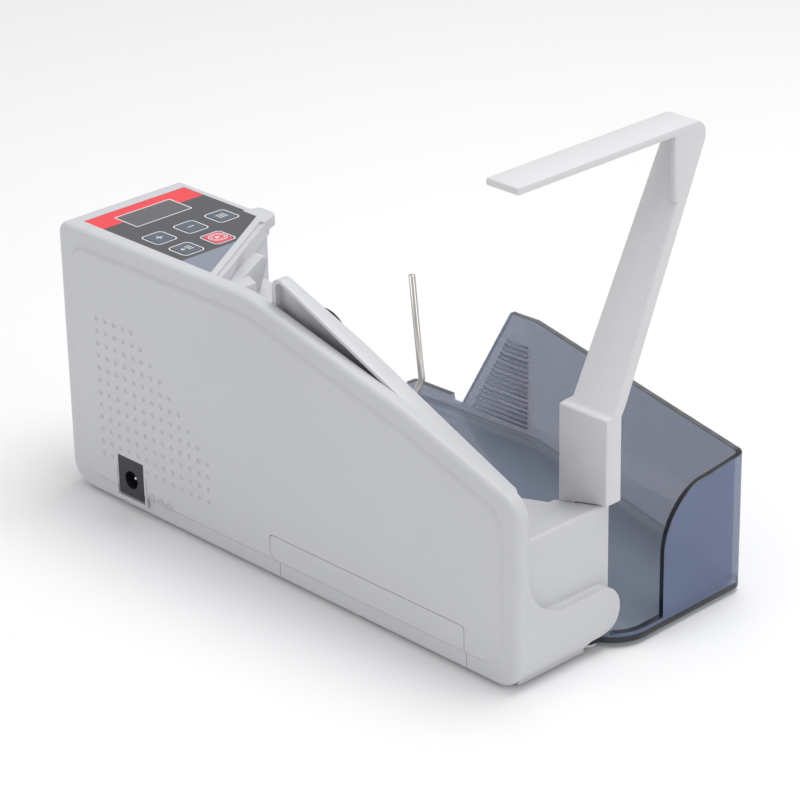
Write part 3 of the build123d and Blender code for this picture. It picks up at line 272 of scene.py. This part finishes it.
def cell_sleeve():
    """Plain battery sleeve: dark body and a copper-coloured end band on each cell."""
    made = start_material("cell_wrap", (0.05, 0.06, 0.08), 0.28, Metallic=0.35)
    x, _, _ = position(made)
    low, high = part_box("battery_cells")
    pitch = (high.x - low.x) / 2
    within = math_node(made, "MODULO", math_node(made, "SUBTRACT", x, low.x), pitch)
    band = math_node(made, "GREATER_THAN", within, 0.72 * pitch)
    worn = noise(made, 600.0, 3.0)
    dark = mix_colour(made, worn, (0.035, 0.04, 0.055), (0.055, 0.065, 0.085))
    tint(made, band, dark, (0.62, 0.30, 0.10))
    return made["material"]


def friction_pad():
    made = start_material("pad_cork", (0.20, 0.09, 0.05), 0.85)
    speckle = noise(made, 2600.0, 4.0, 0.7)
    tint(made, ramp(made, speckle, 0.4, 0.6), (0.14, 0.06, 0.03), (0.30, 0.15, 0.08))
    bump(made, speckle, 0.5, 0.0001)
    return made["material"]


# Printed fields of the keypad film, in row-frame metres.
RED_FIELD_END = -101.3 * MM
PALE_FIELD_START = -55.7 * MM
CHARCOAL = (0.072, 0.073, 0.083)
FILM_RED = (0.82, 0.046, 0.060)
LAVENDER = (0.235, 0.258, 0.322)
PRINT_WHITE = (0.74, 0.75, 0.79)


def printed_film():
    made = start_material("panel_film", CHARCOAL, 0.36, IOR=1.5)
    x, _, _ = position(made)
    red = math_node(made, "LESS_THAN", x, RED_FIELD_END)
    pale = math_node(made, "GREATER_THAN", x, PALE_FIELD_START)
    speck = noise(made, 5200.0, 2.0)
    ground = mix_colour(made, speck, tuple(0.94 * v for v in CHARCOAL), tuple(1.06 * v for v in CHARCOAL))
    with_red = mix_colour(made, red, ground, FILM_RED)
    tint(made, pale, with_red, LAVENDER)
    bump(made, speck, 0.15, 0.00001)
    vary_roughness(made, speck, 0.30, 0.44)
    return made["material"]


def key_film(name, colour):
    made = start_material(name, colour, 0.4, IOR=1.5)
    speck = noise(made, 5200.0, 2.0)
    tint(made, speck, tuple(0.93 * v for v in colour), tuple(1.07 * v for v in colour))
    bump(made, speck, 0.15, 0.00001)
    return made["material"]


def dark_window():
    made = start_material("window_plastic", (0.100, 0.096, 0.106), 0.12, IOR=1.5)
    haze = noise(made, 900.0, 3.0)
    tint(made, haze, (0.092, 0.088, 0.098), (0.108, 0.104, 0.114))
    vary_roughness(made, haze, 0.09, 0.2)
    return made["material"]


def print_ink():
    made = start_material("print_ink", PRINT_WHITE, 0.45, IOR=1.5)
    edge = noise(made, 4000.0, 2.0)
    tint(made, edge, tuple(0.94 * v for v in PRINT_WHITE), PRINT_WHITE)
    return made["material"]


def smoky_plastic(name, clear, dense, least, most):
    """Smoke-blue clear plastic; grazing views look denser."""
    made = start_material(name, clear, 0.07, IOR=1.5)
    streak = noise(made, 22.0, 2.0)
    facing = made["tree"].nodes.new("ShaderNodeLayerWeight")
    facing.inputs["Blend"].default_value = 0.30
    deep = mix_colour(made, facing.outputs["Facing"], clear, dense)
    tint(made, ramp(made, streak, 0.2, 0.8), deep, tuple(0.94 * v for v in clear))
    node = made["tree"].nodes.new("ShaderNodeMapRange")
    node.inputs["To Min"].default_value = least
    node.inputs["To Max"].default_value = most
    made["tree"].links.new(facing.outputs["Facing"], node.inputs["Value"])
    made["tree"].links.new(node.outputs["Result"], made["shader"].inputs["Alpha"])
    vary_roughness(made, noise(made, 160.0, 2.0), 0.05, 0.10)
    return made["material"]


def smoky_edge(name, dark, light, roughness):
    """Narrow edges of the clear tray, where light is trapped."""
    made = start_material(name, dark, roughness, IOR=1.5)
    streak = noise(made, 120.0, 3.0)
    tint(made, ramp(made, streak, 0.35, 0.7), dark, light)
    vary_roughness(made, streak, roughness - 0.04, roughness + 0.12)
    return made["material"]


MATERIALS = {
    "shell_plastic": moulded_plastic("shell_plastic", (0.585, 0.590, 0.618), (0.565, 0.570, 0.598), 0.42),
    "arm_plastic": moulded_plastic("arm_plastic", (0.660, 0.656, 0.672), (0.642, 0.638, 0.654), 0.38),
    "inner_plastic": moulded_plastic("inner_plastic", (0.52, 0.525, 0.54), (0.49, 0.495, 0.51), 0.48),
    "black_plastic": moulded_plastic("black_plastic", (0.018, 0.019, 0.024), (0.012, 0.013, 0.017), 0.33),
    "white_plastic": moulded_plastic("white_plastic", (0.72, 0.72, 0.70), (0.66, 0.66, 0.64), 0.40),
    "rubber_black": black_rubber(),
    "polished_steel": polished_steel(),
    "nickel_contact": plated_metal("nickel_contact", (0.66, 0.65, 0.62), 0.28),
    "motor_steel": plated_metal("motor_steel", (0.52, 0.52, 0.53), 0.34),
    "bush_bronze": plated_metal("bush_bronze", (0.55, 0.33, 0.14), 0.45),
    "board": circuit_board(),
    "cell_wrap": cell_sleeve(),
    "pad_cork": friction_pad(),
    "panel_film": printed_film(),
    "key_film": key_film("key_film", (0.098, 0.118, 0.150)),
    "key_film_red": key_film("key_film_red", (0.70, 0.095, 0.125)),
    "window_plastic": dark_window(),
    "smoky_plastic": smoky_plastic("smoky_plastic", (0.165, 0.212, 0.370), (0.045, 0.054, 0.090), 0.50, 0.90),
}
INK = print_ink()
SMOKY_FLOOR = smoky_plastic("smoky_floor", (0.250, 0.290, 0.365), (0.100, 0.120, 0.160), 0.68, 0.94)
SMOKY_EDGE = smoky_edge("smoky_edge", (0.006, 0.007, 0.014), (0.020, 0.022, 0.036), 0.10)
# The wall tops' copy is a lighter grey than the near-black edges: painted sheen on faces turned up to the light.
SMOKY_RIM_SHEEN = smoky_edge("smoky_rim_sheen", (0.085, 0.086, 0.095), (0.125, 0.126, 0.138), 0.22)


def dress_cad_nodes():
    """Every CAD node takes the material of its slot in the record."""
    for entry in frame["record"]["subparts"]:
        piece = nodes[entry["node"]]
        piece.data.materials.clear()
        piece.data.materials.append(MATERIALS[entry["material_slot"]])
        for polygon in piece.data.polygons:
            polygon.material_index = 0


# ---- mesh kit ----
def add_mesh(name, vertices, faces, material, body, smooth=False):
    data = bpy.data.meshes.new(name)
    data.from_pydata([tuple(v) for v in vertices], [], faces)
    data.materials.append(material)
    for polygon in data.polygons:
        polygon.use_smooth = smooth
    data.update()
    piece = bpy.data.objects.new(name, data)
    bpy.context.scene.collection.objects.link(piece)
    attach(piece, body)
    return piece


def rounded_loop(half_x, half_y, radius, steps=6):
    """Corners of a rounded rectangle round the origin, counter-clockwise."""
    loop = []
    for quarter, (sign_x, sign_y) in enumerate(((1, 1), (-1, 1), (-1, -1), (1, -1))):
        centre = (sign_x * (half_x - radius), sign_y * (half_y - radius))
        for step in range(steps + 1):
            angle = math.pi / 2 * (quarter + step / steps)
            loop.append((centre[0] + radius * math.cos(angle), centre[1] + radius * math.sin(angle)))
    return loop


def flat_band(outer, inner, low, high):
    """Vertices and faces of a closed raised band between two loops of equal length."""
    count = len(outer)
    vertices = []
    for loop, z in ((outer, low), (outer, high), (inner, high), (inner, low)):
        vertices += [(x, y, z) for x, y in loop]
    faces = []
    for ring in range(4):
        follow = (ring + 1) % 4
        for step in range(count):
            after = (step + 1) % count
            faces.append((
                ring * count + step,
                ring * count + after,
                follow * count + after,
                follow * count + step,
            ))
    return vertices, faces


def flat_plate(loop, low, high):
    count = len(loop)
    vertices = [(x, y, low) for x, y in loop] + [(x, y, high) for x, y in loop]
    faces = [tuple(range(count - 1, -1, -1)), tuple(range(count, 2 * count))]
    for step in range(count):
        after = (step + 1) % count
        faces.append((step, after, count + after, count + step))
    return vertices, faces


def merge(parts):
    vertices, faces = [], []
    for some_vertices, some_faces in parts:
        base = len(vertices)
        vertices += some_vertices
        faces += [tuple(base + index for index in face) for face in some_faces]
    return vertices, faces


def moved(part, dx, dy):
    vertices, faces = part
    return [(x + dx, y + dy, z) for x, y, z in vertices], faces


# ---- softened copies of CAD pieces ----
SHARP = math.radians(32)


def softened_mesh(node, width, skip=None):
    """The CAD piece's own shape with its sharp edges rounded over, but for those to skip."""
    source = nodes[node]
    mesh = bmesh.new()
    mesh.from_mesh(source.data)
    mesh.transform(source.matrix_world)
    bmesh.ops.remove_doubles(mesh, verts=mesh.verts, dist=0.001 * MM)
    bmesh.ops.dissolve_limit(mesh, angle_limit=math.radians(0.5), verts=mesh.verts, edges=mesh.edges)
    sharp = []
    for edge in mesh.edges:
        middle = (edge.verts[0].co + edge.verts[1].co) / 2
        if skip and skip(middle):
            continue
        if edge.is_manifold and edge.calc_face_angle(0) > SHARP:
            sharp.append(edge)
    bmesh.ops.bevel(
        mesh, geom=sharp, offset=width, segments=2, profile=0.5, affect="EDGES", clamp_overlap=False
    )
    return mesh


def place_softened(name, mesh, materials, body, node, flat=None):
    data = bpy.data.meshes.new(name)
    mesh.to_mesh(data)
    mesh.free()
    for material in materials:
        data.materials.append(material)
    for polygon in data.polygons:
        polygon.use_smooth = not (flat and flat(polygon.center))
    data.set_sharp_from_angle(angle=SHARP)
    piece = bpy.data.objects.new(name, data)
    bpy.context.scene.collection.objects.link(piece)
    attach(piece, body)
    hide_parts(node)


def make_soft_castings():
    for node, body, slot, width in (
        ("support_arm", "support_arm_body", "arm_plastic", 0.5 * MM),
        ("side_guide", ROOT, "shell_plastic", 0.35 * MM),
        ("gate_bridge", ROOT, "shell_plastic", 0.35 * MM),
        ("back_guide", ROOT, "shell_plastic", 0.35 * MM),
    ):
        mesh = softened_mesh(node, width)
        place_softened(node + "_cast", mesh, [MATERIALS[slot]], body, node)


def make_tray():
    """Clear tray: its floor is deeper blue, its cut edges and wall tops read darker, and the wall tops take a
    lighter grey that is painted sheen.
    """
    low_corner, high_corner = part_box("stacker_tray")
    floor_top = low_corner.z + 2.5 * MM
    grip_face = high_corner.y - 1.6 * MM
    grip_top = floor_top + 42 * MM

    def on_grip(point):
        in_reach = -45 * MM < point.x < -12 * MM and point.y < grip_face
        return in_reach and floor_top + 3 * MM < point.z < grip_top

    mesh = softened_mesh("stacker_tray", 0.3 * MM, on_grip)
    everything = mesh.verts[:] + mesh.edges[:] + mesh.faces[:]
    bmesh.ops.bisect_plane(mesh, geom=everything, plane_co=(0, 0, floor_top), plane_no=(0, 0, 1))
    for face in mesh.faces:
        centre = face.calc_center_median()
        normal = face.normal
        at_front = centre.x > high_corner.x - 4 * MM
        upright = abs(normal.z) < 0.5
        on_rim = centre.z < floor_top + 1.4 * MM and centre.x < high_corner.x - 6 * MM
        if upright and centre.x > 112 * MM and (centre.z < floor_top or on_rim):
            face.material_index = 1
        elif at_front and centre.z > floor_top and abs(normal.x) < 0.35:
            face.material_index = 1
        # Faces turned up take the lighter rim copy, which is painted sheen.
        elif normal.z > 0.35 and centre.z > floor_top + 5 * MM and not on_grip(centre):
            face.material_index = 2
        elif centre.z < floor_top + 0.2 * MM:
            face.material_index = 3
    materials = [MATERIALS["smoky_plastic"], SMOKY_EDGE, SMOKY_RIM_SHEEN, SMOKY_FLOOR]
    place_softened(
        "stacker_tray_clear", mesh, materials, "stacker_tray_body", "stacker_tray", on_grip
    )


# ---- keypad print ----
INK_HEIGHT = 0.04 * MM
LINE = 0.55 * MM
KEY_FLANGE = 0.8 * MM
KEY_GAP = 0.35 * MM
RING_OUTER_CORNER = 2.0 * MM
RING_INNER_CORNER = 1.5 * MM
WINDOW_GAP = 0.15 * MM
SIGN_LINE = 0.5 * MM
SIGN_STEP = 1.3 * MM
# One of two crossing bars stands this much higher, so that no two faces coincide.
CROSSING_LIFT = 0.001 * MM


def bar_mark(width, height, low, high):
    return flat_plate(rounded_loop(width / 2, height / 2, min(width, height) * 0.3, 3), low, high)


def ring_mark(half_x, half_y, line, low, high):
    outer = rounded_loop(half_x, half_y, 0.98 * min(half_x, half_y), 9)
    inner = rounded_loop(half_x - line, half_y - line, 0.98 * (min(half_x, half_y) - line), 9)
    return flat_band(outer, inner, low, high)


def plus_mark(size, low, high):
    return [
        bar_mark(SIGN_LINE, size, low, high),
        bar_mark(size, SIGN_LINE, low, high + CROSSING_LIFT),
    ]


def stack_mark(length, shift, low, high):
    """Three parallel bars, like a pile of notes."""
    bar = bar_mark(SIGN_LINE, length, low, high)
    return [moved(bar, SIGN_STEP * step, shift) for step in (-1, 0, 1)]


def key_signs(kind, low, high):
    """Plain signs instead of words, read with the head's rear edge at the top."""
    if kind == "key_plus":
        return plus_mark(3.2 * MM, low, high)
    if kind == "key_minus":
        return [bar_mark(SIGN_LINE, 3.2 * MM, low, high)]
    if kind == "key_batch":
        return stack_mark(4.2 * MM, 0, low, high)
    if kind == "key_add":
        plus = [moved(bar, 0, -1.7 * MM) for bar in plus_mark(2.0 * MM, low, high)]
        return stack_mark(2.6 * MM, SIGN_STEP, low, high) + plus
    rings = []
    for step in range(2):
        half_x = (2.4 + step) * MM
        half_y = (2.9 + 0.9 * step) * MM
        rings.append(ring_mark(half_x, half_y, 0.34 * MM, low, high))
    arrow = [(1.0 * MM, -1.2 * MM), (-1.0 * MM, -1.2 * MM), (0, 1.3 * MM)]
    return rings + [flat_plate(arrow, low, high)]


def make_key_print():
    """White ring on the film round each key hole, and a plain sign on each key."""
    film_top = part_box("panel_label")[1].z
    rings = []
    for key in ("key_plus", "key_minus", "key_batch", "key_add", "key_start"):
        low_corner, high_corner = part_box(key)
        centre = (low_corner + high_corner) / 2
        grow = KEY_GAP - KEY_FLANGE
        half_x = (high_corner.x - low_corner.x) / 2 + grow
        half_y = (high_corner.y - low_corner.y) / 2 + grow
        ring = flat_band(
            rounded_loop(half_x + LINE, half_y + LINE, RING_OUTER_CORNER),
            rounded_loop(half_x, half_y, RING_INNER_CORNER),
            film_top - INK_HEIGHT, film_top + INK_HEIGHT,
        )
        rings.append(moved(ring, centre.x, centre.y))
        signs = merge(key_signs(key, high_corner.z - INK_HEIGHT, high_corner.z + INK_HEIGHT))
        vertices, faces = moved(signs, centre.x, centre.y)
        add_mesh(key + "_print", vertices, faces, INK, key + "_body")
    vertices, faces = merge(rings)
    add_mesh("key_rings", vertices, faces, INK, ROOT)


def make_window_print():
    low_corner, high_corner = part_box("display_window")
    film_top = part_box("panel_label")[1].z
    centre = (low_corner + high_corner) / 2
    half_x = (high_corner.x - low_corner.x) / 2 + WINDOW_GAP
    half_y = (high_corner.y - low_corner.y) / 2 + WINDOW_GAP
    band = flat_band(
        rounded_loop(half_x + LINE, half_y + LINE, 0.7 * MM),
        rounded_loop(half_x, half_y, 0.3 * MM),
        film_top - INK_HEIGHT, film_top + INK_HEIGHT,
    )
    vertices, faces = moved(band, centre.x, centre.y)
    add_mesh("window_print", vertices, faces, INK, ROOT)


# ---- wire guide ----
WIRE_RADIUS = 1.2 * MM
WIRE_SIDES = 24
BEND_STEPS = 8
BEND_RISE = 13.1 * MM
TIP_LEAN = 4.2 * MM
TIP_CHAMFER = 0.18 * MM
TIP_SHRINK = 0.86


def make_wire():
    """One bent rod with a soft corner, cut square and slightly chamfered at its tip."""
    low_corner, high_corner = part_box("wire_guide")
    joint = [j for j in frame["joints"] if j["name"] == "wire_fold"][0]
    root = Vector((joint["pos_m"][0], 0, joint["pos_m"][2]))
    bend = Vector((high_corner.x - WIRE_RADIUS, 0, root.z + BEND_RISE))
    tip = Vector((bend.x - TIP_LEAN, 0, high_corner.z - WIRE_RADIUS * 0.9))
    stop = Vector((root.x, low_corner.y + 0.3 * MM, root.z))
    line = [stop]
    soft = [(stop, root, bend, 1.8 * MM), (root, bend, tip, 1.6 * MM)]
    for before, corner, after, size in soft:
        first = corner + (before - corner).normalized() * size
        last = corner + (after - corner).normalized() * size
        for step in range(BEND_STEPS + 1):
            t = step / BEND_STEPS
            line.append(first * (1 - t) ** 2 + corner * 2 * t * (1 - t) + last * t ** 2)
    line.append(tip)
    sides = WIRE_SIDES
    vertices = []
    previous = Vector((0, 0, 1))
    for index, point in enumerate(line):
        ahead = line[min(index + 1, len(line) - 1)] - line[max(index - 1, 0)]
        ahead.normalize()
        across = (previous - ahead * previous.dot(ahead)).normalized()
        previous = across
        other = ahead.cross(across)
        for side in range(sides):
            angle = 2 * math.pi * side / sides
            outward = across * math.cos(angle) + other * math.sin(angle)
            vertices.append(point + outward * WIRE_RADIUS)
    along = (line[-1] - line[-2]).normalized()
    centre = tip + along * TIP_CHAMFER
    last_ring = vertices[-sides:]
    vertices += [centre + (point - tip) * TIP_SHRINK for point in last_ring]
    faces = []
    for ring in range(len(line)):
        for side in range(sides):
            after = (side + 1) % sides
            start = ring * sides
            faces.append((start + side, start + after, start + sides + after, start + sides + side))
    faces.append(tuple(range(len(vertices) - sides, len(vertices))))
    faces.append(tuple(range(sides - 1, -1, -1)))
    steel = MATERIALS["polished_steel"]
    wire = add_mesh("wire_rod", vertices, faces, steel, "wire_guide_body")
    for polygon in wire.data.polygons:
        polygon.use_smooth = len(polygon.vertices) == 4
    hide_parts("wire_guide")


# ---- side marks ----
MARK_START = (4.6 * MM, -12.6 * MM)
MARK_STEP = (5.0 * MM, -0.2 * MM)
MARK_RADIUS = 1.55 * MM
MARK_LINE = 0.16 * MM


def make_polarity_marks():
    """Three small raised rings beside the inlet."""
    face_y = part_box("near_cover")[0].y
    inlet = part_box("dc_jack")[1]
    sides, pipe = 28, 8
    vertices, faces = [], []
    for place in range(3):
        x = inlet.x + MARK_START[0] + MARK_STEP[0] * place
        z = inlet.z + MARK_START[1] + MARK_STEP[1] * place
        centre = Vector((x, face_y, z))
        base = len(vertices)
        for side in range(sides):
            angle = 2 * math.pi * side / sides
            out = Vector((math.cos(angle), 0, math.sin(angle)))
            for turn in range(pipe):
                roll = 2 * math.pi * turn / pipe
                sideways = Vector((0, MARK_LINE * math.sin(roll), 0))
                vertices.append(centre + out * (MARK_RADIUS + MARK_LINE * math.cos(roll)) + sideways)
        for side in range(sides):
            for turn in range(pipe):
                a = base + side * pipe + turn
                b = base + side * pipe + (turn + 1) % pipe
                c = base + ((side + 1) % sides) * pipe + (turn + 1) % pipe
                d = base + ((side + 1) % sides) * pipe + turn
                faces.append((a, b, c, d))
    shell = MATERIALS["shell_plastic"]
    add_mesh("polarity_marks", vertices, faces, shell, ROOT, smooth=True)


make_camera()
make_light()
make_floor()
dress_cad_nodes()
make_key_print()
make_window_print()
make_wire()
make_polarity_marks()
make_soft_castings()
make_tray()
